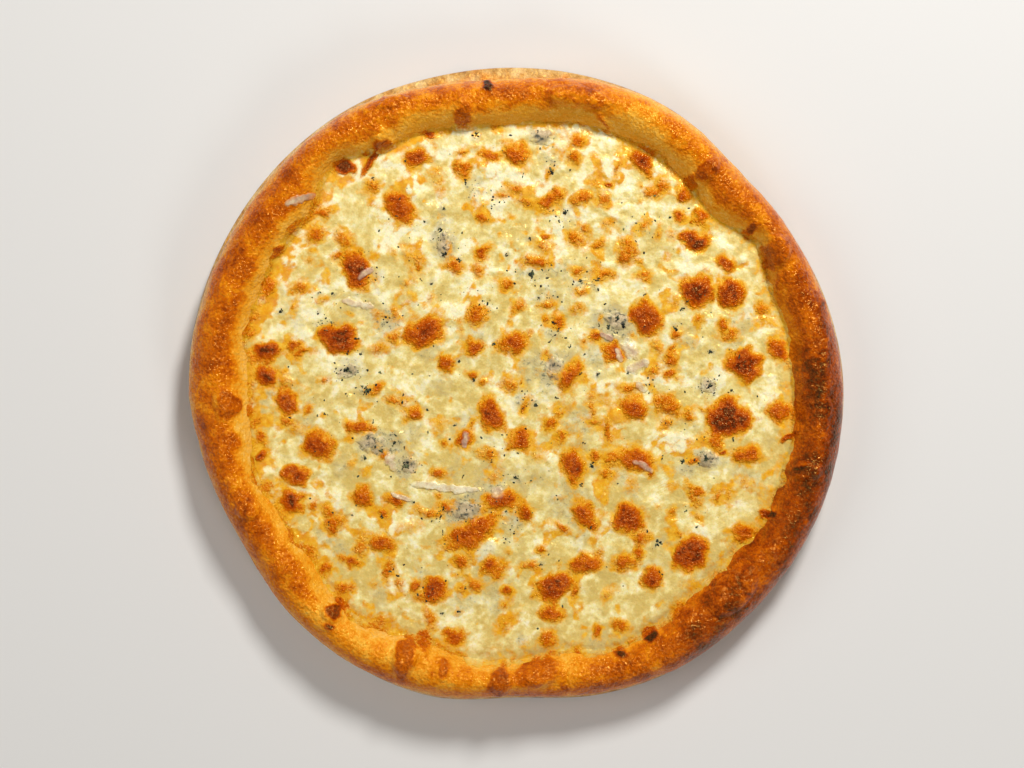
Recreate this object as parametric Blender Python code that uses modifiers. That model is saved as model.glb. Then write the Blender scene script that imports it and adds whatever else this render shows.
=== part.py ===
"""Four-cheese pan pizza, in metres, +Z up, resting on z = 0 with its middle over the origin.

The crust is a turned section fitted to the uneven outline of the baked dough. The melted cheese fills it,
with toasted blisters as relief and the herb flakes fused on. The blue cheese crumbs, the white lumps and the
slivers of hard cheese lie on top, each a piece of its own.
"""

import math
import random

import bmesh
import bpy
from mathutils import Vector, noise
from mathutils.bvhtree import BVHTree

MM = 0.001
GAP = 0.35 * MM
ABOVE_ALL = 1.0
SEED = 7

# Outlines seen from above: radii in mm, evenly spaced anticlockwise from +X
RIM_RADII = (
    152.1, 148.8, 145.6, 143.4, 146.5, 145.5, 141.8, 143.9, 148.8, 149.9, 150.1, 152.0,
    153.5, 150.7, 148.7, 151.4, 152.5, 151.6, 146.9, 150.5, 153.4, 153.7, 154.0, 153.7,
)
CHEESE_RADII = (
    127.9, 127.6, 125.4, 129.3, 119.4, 122.4, 123.7, 123.6, 122.7, 120.0, 120.1, 124.0,
    124.2, 131.9, 123.8, 125.0, 126.8, 127.5, 125.1, 125.4, 128.9, 126.0, 125.7, 131.5,
    132.5, 127.5, 131.2, 130.7, 127.3, 132.7, 131.1, 128.5, 128.2, 132.1, 130.4, 130.5,
)
# How far the thin foot of the crust stands out past the rim, in mm
FOOT_REACHES = (
    2.6, 2.6, 1.9, 1.9, 1.9, 3.2, 7.2, 5.9, 3.2, 2.9, 3.4, 2.6,
    1.8, 1.2, 1.2, 1.9, 2.0, 2.6, 2.6, 2.6, 2.2, 1.9, 1.9, 1.9,
)

# Nominal section of the crust in mm (radius, height), from the middle of its floor over the rim
# to its underside
CHEESE_RADIUS, RIM_RADIUS, FOOT_RADIUS = 127.0, 150.0, 152.0
FLOOR_HEIGHT, CHEESE_LINE, CREST_HEIGHT = 9.0, 16.6, 27.0
LIP_HEIGHT, CREASE_HEIGHT = 3.8, 6.0
CRUST_SECTION = (
    (0.0, FLOOR_HEIGHT), (118.0, FLOOR_HEIGHT), (124.0, 13.0), (CHEESE_RADIUS, CHEESE_LINE),
    (129.0, 19.6), (131.8, 23.2), (135.6, 26.2), (140.0, CREST_HEIGHT), (144.2, 25.4), (147.4, 22.2),
    (149.4, 18.0), (RIM_RADIUS, 14.0), (149.6, 10.0), (149.4, CREASE_HEIGHT), (151.2, LIP_HEIGHT),
    (FOOT_RADIUS, 2.2), (150.8, 0.7), (147.5, 0.0), (0.0, 0.0),
)
CORE_RADIUS, CORE_HEIGHT = 139.0, 14.0
TURN_STEPS = 144
MERGE_DISTANCE = 0.0001

# The rim's own unevenness: heights in mm, lengths of the waves in mm
CREST_SWELL, CREST_WAVE = 1.6, 55.0
RIM_LUMP, RIM_WAVE = 1.0, 17.0
# Share of the lumps' height that is left at the foot of the rim, and how far they stay off its two edges
SIDE_LUMP = 0.35
RIM_MARGIN = 0.5
# Raised folds and blisters of the rim: angle in degrees, share of the way from the cheese to the outside,
# half length along the rim, half width across it and height in mm
RIM_FOLDS = (
    (48, 0.45, 4, 8, 1.6), (27, 0.35, 8, 7, 2.0), (343, 0.35, 5, 9, 1.4), (316, 0.45, 15, 8, 2.4),
    (275, 0.3, 9, 7, 1.5), (267, 0.4, 5, 9, 1.6), (248, 0.35, 6, 10, 2.0), (231, 0.2, 6, 6, 1.8),
    (205, 0.45, 6, 6, 1.2), (184, 0.35, 7, 7, 1.5), (119, 0.2, 5, 6, 1.8), (114, 0.8, 8, 4, 1.3),
    (101, 0.3, 5, 8, 1.2), (78, 0.55, 17, 5, 2.0),
)

# Melted cheese, in mm
CHEESE_GRID = 42
CHEESE_TOP = 17.0
CHEESE_EDGE = 16.3
EDGE_RADIUS, SLOPE_RADIUS, BED_RADIUS = 126.4, 123.75, 117.8
SLOPE_HEIGHT = 13.4
CHEESE_SWELL, CHEESE_WAVE, SWELL_SLICE = 0.8, 38.0, 3.0
CHEESE_LUMP, LUMP_WAVE, LUMP_SLICE = 0.45, 13.0, 9.0
EDGE_FADE = 5.0
# A blister of full half width is this high, and the narrowest has only a share of that
BLISTER_HEIGHT, FULL_HALF_WIDTH, NARROW_SHARE = 2.0, 6.0, 0.6
# Toasted blisters: place of the middle, half length, half width in mm and turn in degrees
BLISTERS = (
    (-54, 82, 8, 5.5, -60), (-75, 53, 9, 6.5, -60), (-1, 106, 7.5, 5, -45), (15, 85, 7, 4, 30),
    (30, 85, 6, 3.5, 20), (9, 56, 6, 3, -5), (58.5, 103, 6.5, 4.5, -60), (83.5, 66, 6, 4, -25),
    (51, 61, 7, 4, 80), (-83, 20, 8, 7, -30), (-116, 14.5, 6.5, 5, 20), (-116, 3.5, 6, 4.5, -10),
    (-108, -9, 6.5, 4.8, -60), (-92.5, -29.5, 7.5, 6, -35), (-75, -20.5, 6, 3.2, 0), (-43, 23, 9, 6, 35),
    (-2, 18, 8, 5, 15), (-11, -15, 8, 5.5, -65), (25, 2, 7, 4.5, 60), (25.5, -39, 8, 5.5, -75),
    (83.5, 42, 8, 7.5, 0), (100, 41, 7, 7, 0), (60.5, 30, 8, 7, -40), (105.5, 8, 8.5, 7.5, 0),
    (54.5, -12.5, 7, 5.5, -25), (71, -11, 6, 4.5, -45), (98.5, -17, 10.5, 9, 0), (107.5, -34, 6.5, 4, 15),
    (56.5, -36, 9, 5.5, -20), (-84.5, -66, 6, 4.5, 45), (-63, -75, 7, 4.2, -10), (-38, -97, 6.5, 5.5, 0),
    (-21, -70, 13, 6.5, 30), (-9, -56, 8, 4, 15), (4, -60, 6, 4, -50), (32, -84.5, 8, 4.5, 25),
    (32, -62, 8, 4.5, -50), (17, -96, 9, 6, 20), (52, -64, 8, 7, -30), (64, -91.5, 5.5, 5.5, 0),
    (80, -80.5, 8.5, 7.5, 40), (51, -84, 6, 4, 10), (-105, -56.5, 5, 4.8, 0), (-72.5, -53.5, 5.3, 5.3, 0),
)

# Toppings that lie on the cheese: place, half length, half width in mm and turn in degrees
BLUE_CRUMBS = (
    (47, 28.5, 6.5, 4.2, -15), (-24, -60, 7.5, 5, -5), (-68, -28.5, 7, 5, -20), (-50, -38.5, 4.5, 4, -60),
    (-79, 5, 5.5, 3.2, 20), (89, -36, 5.5, 4, 0), (11, 114.5, 6, 4, 0), (17.5, 7, 4.5, 6, 0),
    (-34, 64, 3.5, 6, 0), (89, -1.5, 4.5, 3.5, 0),
)
WHITE_LUMPS = ((53, 14.5, 5.5, 3.5, -45), (-59, -36, 3.5, 2.6, 60), (-9, -51.5, 3.5, 3, 0))
CRUMB_HEIGHT, LUMP_HEIGHT = 1.8, 1.6
# How uneven a crumb is in outline and on top, as shares of its size, with the fineness of each
OUTLINE_UNEVEN, OUTLINE_FINENESS = 0.16, 1.7
TOP_UNEVEN, TOP_FINENESS, TOP_SLICE = 0.25, 2.0, 5.0
TOP_ROUNDING = 0.6
# Slivers: the two ends and the width in mm
SLIVERS = (
    (-50, -47.5, -17, -51, 4.2), (-107.5, 81.5, -93.5, 88, 4.0), (-24, -22.5, -24.5, -31, 3.8),
    (53.5, -36.5, 64, -42, 3.2), (-59, -51.5, -49, -55.5, 2.6), (-74.5, 48, -66.5, 53, 3.8),
    (56, 0.5, 60, -5, 4.0), (38.5, 23, 45, 19.5, 3.2),
)
SLIVER_THICKNESS = 1.0
SLIVER_CELLS, SLIVER_ROWS = 8, 2
# How much a sliver narrows at its ends and how sharply, and how far it bows, as shares of its size
END_TAPER, TAPER_POWER = 0.8, 5
SLIVER_BOW, BOW_FINENESS = 0.05, 0.9

# Herb flakes fused to the cheese, in mm
FLAKES = 46
FLAKE_LENGTH, FLAKE_WIDTH, FLAKE_HEIGHT = 1.25, 0.75, 0.5
FLAKE_FIELD, FLAKE_CLEARANCE, FLAKE_SPACING = 112.0, 3.0, 6.0
FLAKE_RISE, FLAKE_TILT = 0.1, (0.12, 0.18)
# Share of the flakes that lie near a crumb, how far from its middle, and how much their sizes vary
NEAR_SHARE, NEAR_REACHES, FLAKE_SIZES = 0.6, (7, 20), (0.8, 1.25)


def clear_scene():
    for old in list(bpy.data.objects):
        bpy.data.objects.remove(old)


def collection(name):
    made = bpy.data.collections.new(name)
    bpy.context.scene.collection.children.link(made)
    return made


def material(name, colour, roughness):
    made = bpy.data.materials.new(name)
    made.use_nodes = True
    shader = made.node_tree.nodes["Principled BSDF"]
    shader.inputs["Base Color"].default_value = (*colour, 1)
    shader.inputs["Roughness"].default_value = roughness
    shader.inputs["Metallic"].default_value = 0
    return made


def add_object(name, mesh, home, finish):
    made = bpy.data.objects.new(name, mesh)
    home.objects.link(made)
    mesh.materials.append(finish)
    return made


def frozen(source, name, home, finish):
    """A plain mesh object with the source's modifiers applied. The source is removed."""
    graph = bpy.context.evaluated_depsgraph_get()
    mesh = bpy.data.meshes.new_from_object(source.evaluated_get(graph))
    bpy.data.objects.remove(source)
    mesh.materials.clear()
    return add_object(name, mesh, home, finish)


def smooth_shaded(thing, sharp_degrees=50):
    thing.data.shade_smooth()
    thing.data.set_sharp_from_angle(angle=math.radians(sharp_degrees))


def smooth_step(share):
    share = min(1.0, max(0.0, share))
    return share * share * (3 - 2 * share)


def around(values, angle):
    """Value at an angle on a smooth closed curve through values spaced evenly from +X."""
    place = angle / math.tau * len(values)
    first = math.floor(place)
    t = place - first
    a, b, c, d = (values[(first + step) % len(values)] for step in (-1, 0, 1, 2))
    return b + 0.5 * t * (c - a + t * (2 * a - 5 * b + 4 * c - d + t * (3 * (b - c) + d - a)))


def wave(x, y, z, length):
    """Smooth noise from about -1 to 1, with features of that length in mm."""
    return noise.noise(Vector((x, y, z)) / length)


def dome(across, along):
    """1 in the middle of an oval, easing to 0 at its edge, from distances as shares of its half sizes."""
    inside = max(0.0, 1 - across * across - along * along)
    return inside * (2 - inside)


def oval_shares(x, y, oval):
    """How far (x, y) is from the middle of an oval (x, y, half length, half width, turn), in half sizes."""
    turn = math.radians(oval[4])
    dx, dy = x - oval[0], y - oval[1]
    along = dx * math.cos(turn) + dy * math.sin(turn)
    across = dy * math.cos(turn) - dx * math.sin(turn)
    return along / oval[2], across / oval[3]


# Crust

def settled_radius(radius, height, angle):
    """Radius of a point of the nominal section once it follows the outlines at this angle."""
    rim, cheese = around(RIM_RADII, angle), around(CHEESE_RADII, angle)
    foot = rim + around(FOOT_REACHES, angle)
    low = radius * foot / FOOT_RADIUS
    if radius < CHEESE_RADIUS:
        high = radius * cheese / CHEESE_RADIUS
    else:
        high = cheese + (radius - CHEESE_RADIUS) * (rim - cheese) / (RIM_RADIUS - CHEESE_RADIUS)
    share = smooth_step((height - LIP_HEIGHT) / (CREASE_HEIGHT - LIP_HEIGHT))
    return low + share * (high - low)


def fold_height(radius, angle):
    """Height of the folds and blisters of the rim at a settled radius."""
    cheese, rim = around(CHEESE_RADII, angle), around(RIM_RADII, angle)
    total = 0.0
    for degrees, share, half_length, half_width, height in RIM_FOLDS:
        off = (angle - math.radians(degrees) + math.pi) % math.tau - math.pi
        across = radius - (cheese + share * (rim - cheese))
        total += height * dome(off * radius / half_length, across / half_width)
    return total


def crust_point(point):
    """Moves a point of the turned nominal crust to its place on the real one. All in mm."""
    radius, height = math.hypot(point.x, point.y), point.z
    if radius < 1e-6:
        return point
    angle = math.atan2(point.y, point.x) % math.tau
    real = settled_radius(radius, height, angle)
    x, y = real * math.cos(angle), real * math.sin(angle)
    on_rim = radius > CHEESE_RADIUS + RIM_MARGIN and height > LIP_HEIGHT + RIM_MARGIN
    if not on_rim:
        return Vector((x, y, height))
    lift = smooth_step((height - CHEESE_LINE) / (CREST_HEIGHT - CHEESE_LINE))
    core = settled_radius(CORE_RADIUS, CORE_HEIGHT, angle)
    outward = Vector((real - core, 0, height - CORE_HEIGHT)).normalized()
    lump = RIM_LUMP * wave(x, y, height, RIM_WAVE) * (SIDE_LUMP + (1 - SIDE_LUMP) * lift)
    puff = lump + lift * fold_height(real, angle)
    swell = lift * CREST_SWELL * wave(x, y, 0, CREST_WAVE)
    moved = real + outward.x * puff
    return Vector((moved * math.cos(angle), moved * math.sin(angle), height + outward.z * puff + swell))


def make_crust(home, finish):
    section = bpy.data.meshes.new("crust_section")
    points = [(radius, 0, height) for radius, height in CRUST_SECTION]
    section.from_pydata(points, [(i, i + 1) for i in range(len(points) - 1)], [])
    turned = bpy.data.objects.new("crust_turned", section)
    home.objects.link(turned)
    screw = turned.modifiers.new("Screw", "SCREW")
    screw.steps = screw.render_steps = TURN_STEPS
    screw.use_merge_vertices = True
    screw.merge_threshold = MERGE_DISTANCE
    crust = frozen(turned, "crust", home, finish)
    for vertex in crust.data.vertices:
        vertex.co = crust_point(vertex.co) * MM
    smooth_shaded(crust)
    return crust


# Cheese

def round_place(u, v):
    """Bends a point of the square from -1 to 1 to a round sheet, as (share of the radius, angle)."""
    if abs(u) < 1e-9 and abs(v) < 1e-9:
        return 0.0, 0.0
    quarter = math.pi / 4
    if abs(u) >= abs(v):
        angle = quarter * v / u + (0 if u > 0 else math.pi)
        return abs(u), angle % math.tau
    angle = math.pi / 2 - quarter * u / v + (0 if v > 0 else math.pi)
    return abs(v), angle % math.tau


def blister_share(oval):
    """How high a blister of this width is, as a share of a wide one."""
    return NARROW_SHARE + (1 - NARROW_SHARE) * min(1, oval[3] / FULL_HALF_WIDTH)


def cheese_height(x, y, edge_distance):
    """Height of the cheese in mm. Near the edge it eases down to where it meets the rim."""
    free = smooth_step(edge_distance / EDGE_FADE)
    swell = CHEESE_SWELL * wave(x, y, SWELL_SLICE, CHEESE_WAVE)
    swell += CHEESE_LUMP * wave(x, y, LUMP_SLICE, LUMP_WAVE)
    blister = max(blister_share(oval) * dome(*oval_shares(x, y, oval)) for oval in BLISTERS)
    top = CHEESE_TOP + swell + BLISTER_HEIGHT * blister
    return CHEESE_EDGE + free * (top - CHEESE_EDGE)


def drop_edge(bm, edges, radius, height):
    """Extrudes the open edge of the sheet to a nominal radius and a height, and returns its new edges."""
    made = bmesh.ops.extrude_edge_only(bm, edges=edges)["geom"]
    for vertex in (part for part in made if isinstance(part, bmesh.types.BMVert)):
        angle = math.atan2(vertex.co.y, vertex.co.x) % math.tau
        real = settled_radius(radius, CHEESE_LINE, angle)
        vertex.co = Vector((real * math.cos(angle), real * math.sin(angle), height))
    return [part for part in made if isinstance(part, bmesh.types.BMEdge) and part.is_boundary]


def make_cheese(home, finish):
    bm = bmesh.new()
    bmesh.ops.create_grid(bm, x_segments=CHEESE_GRID, y_segments=CHEESE_GRID, size=1)
    for vertex in bm.verts:
        share, angle = round_place(vertex.co.x, vertex.co.y)
        edge = settled_radius(EDGE_RADIUS, CHEESE_LINE, angle)
        x, y = share * edge * math.cos(angle), share * edge * math.sin(angle)
        vertex.co = Vector((x, y, cheese_height(x, y, edge * (1 - share))))
    rim_edges = [edge for edge in bm.edges if edge.is_boundary]
    slope_edges = drop_edge(bm, rim_edges, SLOPE_RADIUS, SLOPE_HEIGHT)
    bed_edges = drop_edge(bm, slope_edges, BED_RADIUS, FLOOR_HEIGHT + GAP / MM)
    bmesh.ops.contextual_create(bm, geom=bed_edges)
    bmesh.ops.recalc_face_normals(bm, faces=bm.faces)
    bmesh.ops.scale(bm, vec=(MM, MM, MM), verts=bm.verts)
    mesh = bpy.data.meshes.new("cheese")
    bm.to_mesh(mesh)
    bm.free()
    cheese = add_object("cheese", mesh, home, finish)
    smooth_shaded(cheese)
    return cheese


# What lies on the cheese

def surface_of(*things):
    """A function that gives the height in mm of the highest of these things at (x, y) in mm."""
    graph = bpy.context.evaluated_depsgraph_get()
    trees = [BVHTree.FromObject(thing, graph) for thing in things]
    down = Vector((0, 0, -1))

    def height(x, y):
        start = Vector((x * MM, y * MM, ABOVE_ALL))
        hits = [tree.ray_cast(start, down)[0] for tree in trees]
        return max(hit.z for hit in hits if hit is not None) / MM

    return height


def topping_ovals():
    """Every loose topping as an oval, for keeping the flakes clear of it."""
    ovals = list(BLUE_CRUMBS + WHITE_LUMPS)
    for x1, y1, x2, y2, width in SLIVERS:
        turn = math.degrees(math.atan2(y2 - y1, x2 - x1))
        half = math.hypot(x2 - x1, y2 - y1) / 2
        ovals.append(((x1 + x2) / 2, (y1 + y2) / 2, half, width / 2, turn))
    return ovals


def flake_places():
    """Where the larger herb flakes lie: spread by chance, most of them near a crumb of blue cheese."""
    draw = random.Random(SEED)
    ovals, places = topping_ovals(), []
    while len(places) < FLAKES:
        if draw.random() < NEAR_SHARE:
            crumb = draw.choice(BLUE_CRUMBS)
            reach, angle = draw.uniform(*NEAR_REACHES), draw.uniform(0, math.tau)
            x, y = crumb[0] + reach * math.cos(angle), crumb[1] + reach * math.sin(angle)
        else:
            reach, angle = FLAKE_FIELD * math.sqrt(draw.random()), draw.uniform(0, math.tau)
            x, y = reach * math.cos(angle), reach * math.sin(angle)
        turn, size = draw.uniform(0, math.pi), draw.uniform(*FLAKE_SIZES)
        grown = [(ox, oy, a + FLAKE_CLEARANCE, b + FLAKE_CLEARANCE, t) for ox, oy, a, b, t in ovals]
        clear = all(math.hypot(*oval_shares(x, y, oval)) > 1 for oval in grown)
        spaced = all(math.hypot(x - other[0], y - other[1]) > FLAKE_SPACING for other in places)
        if clear and spaced and math.hypot(x, y) < FLAKE_FIELD:
            places.append((x, y, turn, size))
    return places


def fuse_flakes(cheese, home):
    """Joins the herb flakes to the cheese with one union."""
    height = surface_of(cheese)
    for x, y, turn, size in flake_places():
        bm = bmesh.new()
        bmesh.ops.create_icosphere(bm, subdivisions=1, radius=1)
        bmesh.ops.scale(bm, vec=(FLAKE_LENGTH * size, FLAKE_WIDTH * size, FLAKE_HEIGHT), verts=bm.verts)
        mesh = bpy.data.meshes.new("flake")
        bm.to_mesh(mesh)
        bm.free()
        flake = bpy.data.objects.new("flake", mesh)
        home.objects.link(flake)
        flake.scale = (MM, MM, MM)
        flake.location = Vector((x, y, height(x, y) + FLAKE_RISE)) * MM
        flake.rotation_euler = (*FLAKE_TILT, turn)
    bpy.context.view_layer.update()
    union = cheese.modifiers.new("Flakes", "BOOLEAN")
    union.operation = "UNION"
    union.operand_type = "COLLECTION"
    union.collection = home
    union.solver = "EXACT"
    graph = bpy.context.evaluated_depsgraph_get()
    fused = bpy.data.meshes.new_from_object(cheese.evaluated_get(graph))
    cheese.modifiers.clear()
    cheese.data = fused
    fused.name = "cheese"
    for flake in list(home.objects):
        bpy.data.objects.remove(flake)
    bpy.data.collections.remove(home)


def make_lump(name, oval, top, height, home, finish):
    """A softened crumb: an uneven dome whose underside follows what it lies on."""
    x0, y0, half_length, half_width, turn = oval
    c, s = math.cos(math.radians(turn)), math.sin(math.radians(turn))
    bm = bmesh.new()
    bmesh.ops.create_icosphere(bm, subdivisions=2, radius=1)
    for vertex in bm.verts:
        u, v, w = vertex.co
        outline = Vector((u * OUTLINE_FINENESS + x0, v * OUTLINE_FINENESS + y0, 0))
        uneven = 1 + OUTLINE_UNEVEN * noise.noise(outline)
        along, across = u * half_length * uneven, v * half_width * uneven
        x, y = x0 + along * c - across * s, y0 + along * s + across * c
        crags = Vector((u * TOP_FINENESS + y0, v * TOP_FINENESS + x0, TOP_SLICE))
        rise = top * max(0.0, w) ** TOP_ROUNDING * (1 + TOP_UNEVEN * noise.noise(crags))
        vertex.co = Vector((x, y, height(x, y) + GAP / MM + rise)) * MM
    mesh = bpy.data.meshes.new(name)
    bm.to_mesh(mesh)
    bm.free()
    lump = add_object(name, mesh, home, finish)
    smooth_shaded(lump)
    return lump


def make_sliver(name, ends, height, home, finish):
    """A strip of half-melted cheese with soft ends, laid over what is under it."""
    x1, y1, x2, y2, width = ends
    length = math.hypot(x2 - x1, y2 - y1)
    forward = Vector(((x2 - x1) / length, (y2 - y1) / length))
    side = Vector((-forward.y, forward.x))
    bm = bmesh.new()
    bmesh.ops.create_grid(bm, x_segments=SLIVER_CELLS, y_segments=SLIVER_ROWS, size=1)
    for vertex in bm.verts:
        u, v = vertex.co.x, vertex.co.y
        taper = math.sqrt(1 - END_TAPER * abs(u) ** TAPER_POWER)
        bow = SLIVER_BOW * length * noise.noise(Vector((u * BOW_FINENESS, x1, y1)))
        across = v * width / 2 * taper + bow
        place = Vector((x1, y1)) + forward * (u + 1) / 2 * length + side * across
        vertex.co = Vector((place.x, place.y, height(place.x, place.y) + GAP / MM)) * MM
    mesh = bpy.data.meshes.new(name)
    bm.to_mesh(mesh)
    bm.free()
    sliver = add_object(name, mesh, home, finish)
    thickness = sliver.modifiers.new("Thickness", "SOLIDIFY")
    thickness.thickness = SLIVER_THICKNESS * MM
    thickness.offset = 1
    smooth_shaded(sliver)
    return sliver


def main():
    clear_scene()
    pizza, flakes = collection("Pan pizza"), collection("Herb flakes")
    baked = material("Baked crust", (0.58, 0.20, 0.03), 0.45)
    melted = material("Melted cheese", (0.88, 0.74, 0.38), 0.35)
    blue = material("Blue cheese", (0.55, 0.52, 0.44), 0.5)
    pale = material("Pale cheese", (0.86, 0.74, 0.60), 0.4)
    crust = make_crust(pizza, baked)
    cheese = make_cheese(pizza, melted)
    fuse_flakes(cheese, flakes)
    height = surface_of(crust, cheese)
    for number, oval in enumerate(BLUE_CRUMBS, 1):
        make_lump(f"blue_crumb_{number}", oval, CRUMB_HEIGHT, height, pizza, blue)
    for number, oval in enumerate(WHITE_LUMPS, 1):
        make_lump(f"white_lump_{number}", oval, LUMP_HEIGHT, height, pizza, pale)
    for number, ends in enumerate(SLIVERS, 1):
        make_sliver(f"sliver_{number}", ends, height, pizza, pale)


main()
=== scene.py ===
"""Looks of the pan pizza: the baked crust, the melted cheese and what lies on it, with light and camera."""

import math
import random

import bmesh
import bpy
import numpy as np
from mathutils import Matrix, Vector, noise
from mathutils.bvhtree import BVHTree


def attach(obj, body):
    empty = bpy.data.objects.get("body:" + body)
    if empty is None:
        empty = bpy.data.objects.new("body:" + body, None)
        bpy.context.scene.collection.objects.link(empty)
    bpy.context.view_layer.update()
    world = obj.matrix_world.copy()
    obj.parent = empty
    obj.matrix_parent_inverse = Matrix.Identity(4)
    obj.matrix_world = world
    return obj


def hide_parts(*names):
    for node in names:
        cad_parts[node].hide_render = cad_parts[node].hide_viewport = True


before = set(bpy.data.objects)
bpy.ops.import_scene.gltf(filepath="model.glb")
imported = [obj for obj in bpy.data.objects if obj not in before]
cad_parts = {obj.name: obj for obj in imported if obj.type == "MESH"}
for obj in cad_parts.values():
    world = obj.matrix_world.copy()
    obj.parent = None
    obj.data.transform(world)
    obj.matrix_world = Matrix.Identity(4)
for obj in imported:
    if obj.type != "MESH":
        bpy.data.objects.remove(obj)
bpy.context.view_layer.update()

MM = 0.001
SEED = 7

# Outlines seen from above: radii in mm, evenly spaced anticlockwise from +X
RIM_RADII = (
    152.1, 148.8, 145.6, 143.4, 146.5, 145.5, 141.8, 143.9, 148.8, 149.9, 150.1, 152.0,
    153.5, 150.7, 148.7, 151.4, 152.5, 151.6, 146.9, 150.5, 153.4, 153.7, 154.0, 153.7,
)
CHEESE_RADII = (
    127.9, 127.6, 125.4, 129.3, 119.4, 122.4, 123.7, 123.6, 122.7, 120.0, 120.1, 124.0,
    124.2, 131.9, 123.8, 125.0, 126.8, 127.5, 125.1, 125.4, 128.9, 126.0, 125.7, 131.5,
    132.5, 127.5, 131.2, 130.7, 127.3, 132.7, 131.1, 128.5, 128.2, 132.1, 130.4, 130.5,
)
FOOT_REACHES = (
    2.6, 2.6, 1.9, 1.9, 1.9, 3.2, 7.2, 5.9, 3.2, 2.9, 3.4, 2.6,
    1.8, 1.2, 1.2, 1.9, 2.0, 2.6, 2.6, 2.6, 2.2, 1.9, 1.9, 1.9,
)

# Nominal section of the crust as (radius, height) in mm, from its floor over the rim to its underside
CHEESE_RADIUS, RIM_RADIUS, FOOT_RADIUS = 127.0, 150.0, 152.0
FLOOR_HEIGHT, CHEESE_LINE, CREST_HEIGHT = 9.0, 16.6, 27.0
LIP_HEIGHT, CREASE_HEIGHT = 3.8, 6.0
CRUST_SECTION = (
    (118.0, FLOOR_HEIGHT), (124.0, 13.0), (CHEESE_RADIUS, CHEESE_LINE),
    (129.0, 19.6), (131.8, 23.2), (135.6, 26.2), (140.0, CREST_HEIGHT), (144.2, 25.4), (147.4, 22.2),
    (149.4, 18.0), (RIM_RADIUS, 14.0), (149.6, 10.0), (149.4, CREASE_HEIGHT), (151.2, LIP_HEIGHT),
    (FOOT_RADIUS, 2.2), (150.8, 0.7), (147.5, 0.0),
)
FLOOR_STEPS, UNDERSIDE_STEPS = (0.0, 60.0, 112.0), (140.0, 120.0, 80.0, 40.0, 0.0)
CORE_RADIUS, CORE_HEIGHT = 139.0, 14.0
TURN_STEPS, SECTION_STEP, SECTION_SOFTNESS, SOFT_REACH = 1000, 0.7, 1.3, 6

CREST_SWELL, CREST_WAVE = 1.6, 55.0
RIM_LUMP, RIM_WAVE = 1.0, 17.0
# Folds and blisters of the rim: angle in degrees, share of the way from the cheese to the outside,
# half length along the rim, half width across it and height in mm
RIM_FOLDS = (
    (48, 0.45, 4, 8, 1.6), (27, 0.35, 8, 7, 2.0), (343, 0.35, 5, 9, 1.4), (316, 0.45, 15, 8, 2.4),
    (275, 0.3, 9, 7, 1.5), (267, 0.4, 5, 9, 1.6), (248, 0.35, 6, 10, 2.0), (231, 0.2, 6, 6, 1.8),
    (205, 0.45, 6, 6, 1.2), (184, 0.35, 7, 7, 1.5), (119, 0.2, 5, 6, 1.8), (114, 0.8, 8, 4, 1.3),
    (101, 0.3, 5, 8, 1.2), (78, 0.55, 17, 5, 2.0),
)
# How dark the rim is baked, with a painted sheen as the lighter level at 60 degrees, and how golden its inner
# slope is, every 30 degrees from +X
BAKE_AND_SHEEN_LEVELS = (0.74, 0.56, 0.29, 0.46, 0.44, 0.51, 0.50, 0.49, 0.36, 0.46, 0.61, 0.78)
GOLD_LEVELS = (0.3, 0.75, 0.8, 1.15, 1.3, 1.05, 0.95, 1.0, 1.0, 0.75, 0.45, 0.2)
# Toasted marks on the rim: place, half length, half width in mm, turn in degrees and how dark
RIM_MARKS = (
    (-14, 137, 3.5, 3.5, 0, 1.0), (-65, 129, 7, 3, 25, 0.62), (-80, 100, 5, 3.5, 0, 1.0),
    (-68, 103, 7, 1.6, 60, 0.95), (-63, 111, 5, 4, 0, 0.72), (-42, 116, 4, 1.6, 0, 0.9),
    (-25, 124, 7, 4, 80, 0.66), (24, 134, 19, 5, -18, 0.58), (40, 121, 7, 1.6, -55, 0.66),
    (88, 97, 6, 4, 10, 0.74), (81, 94, 4, 3.5, 0, 0.6), (104, 83, 3, 3, 0, 0.6), (108, 71, 4, 3, 90, 0.8),
    (119, 59, 8, 6, 80, 0.7), (121, 46, 5, 1.6, 90, 0.72), (141, 35, 3, 2.2, 90, 0.84),
    (139, 0, 30, 6, 90, 0.72), (133, -41, 8, 3, 15, 0.9), (128, -25, 5, 1.6, 30, 0.86),
    (118, -62, 4.5, 2.4, -10, 1.0), (109, -86, 9, 3, 60, 0.72), (98, -97, 12, 8, 40, 0.6),
    (94, -101, 6, 2.4, 20, 0.74), (107, -103, 1.8, 1.4, 0, 1.0), (117, -79, 3, 2.4, 0, 0.72),
    (77, -109, 5, 4, 30, 0.6), (62, -118, 4.2, 3.4, 40, 1.0), (48, -127, 3.4, 2.6, -40, 0.98),
    (9, -135, 13, 6, 18, 0.66), (-8, -139, 8, 5, 60, 0.72), (-34, -133, 5, 4, 70, 0.68),
    (-52, -128, 11, 5, 80, 0.68), (-43, -121, 6, 4, 80, 0.62), (-85, -107, 5, 4, 0, 0.84),
    (-87, -113, 3.6, 1.8, 0, 0.92), (-108, -86, 5, 4, 0, 0.6), (-124, -60, 5, 4, 0, 0.6),
    (-134, -11, 8, 5, 90, 0.68), (-111, 62, 3, 2, 20, 0.72), (-148, 51, 8, 2, 70, 0.66),
)

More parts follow.
